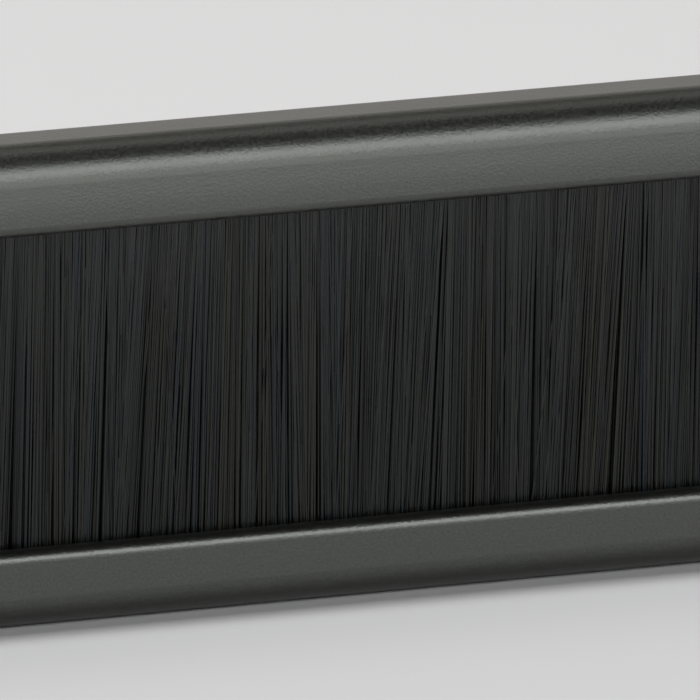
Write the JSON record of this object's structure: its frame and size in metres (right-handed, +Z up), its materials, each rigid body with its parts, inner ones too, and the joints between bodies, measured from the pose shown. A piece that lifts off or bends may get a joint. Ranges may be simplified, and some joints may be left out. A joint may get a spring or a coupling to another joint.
{
  "type": "rack brush panel",
  "caption": "Low rack panel of folded black steel with slotted ears and a long cable slot that a hanging brush of soft bristles closes.",
  "frame": {"origin": "mid width and mid height of the panel, on the rear face of the ears, at the centre of the rack holes", "axes": "+X along the panel to the viewer's right, +Y from the panel back into the rack, +Z up"},
  "size_m": [0.4826, 0.0098, 0.0436],
  "materials": {
    "powder_coat": "satin",
    "bristle": "satin",
    "galvanised_steel": "satin",
    "black_steel": "satin"
  },
  "bodies": {
    "root": {"front_panel": "powder_coat", "bristles": "bristle", "brush_channel": "galvanised_steel", "retaining_wire": "galvanised_steel", "grub_screws": "black_steel"}
  },
  "joints": []
}
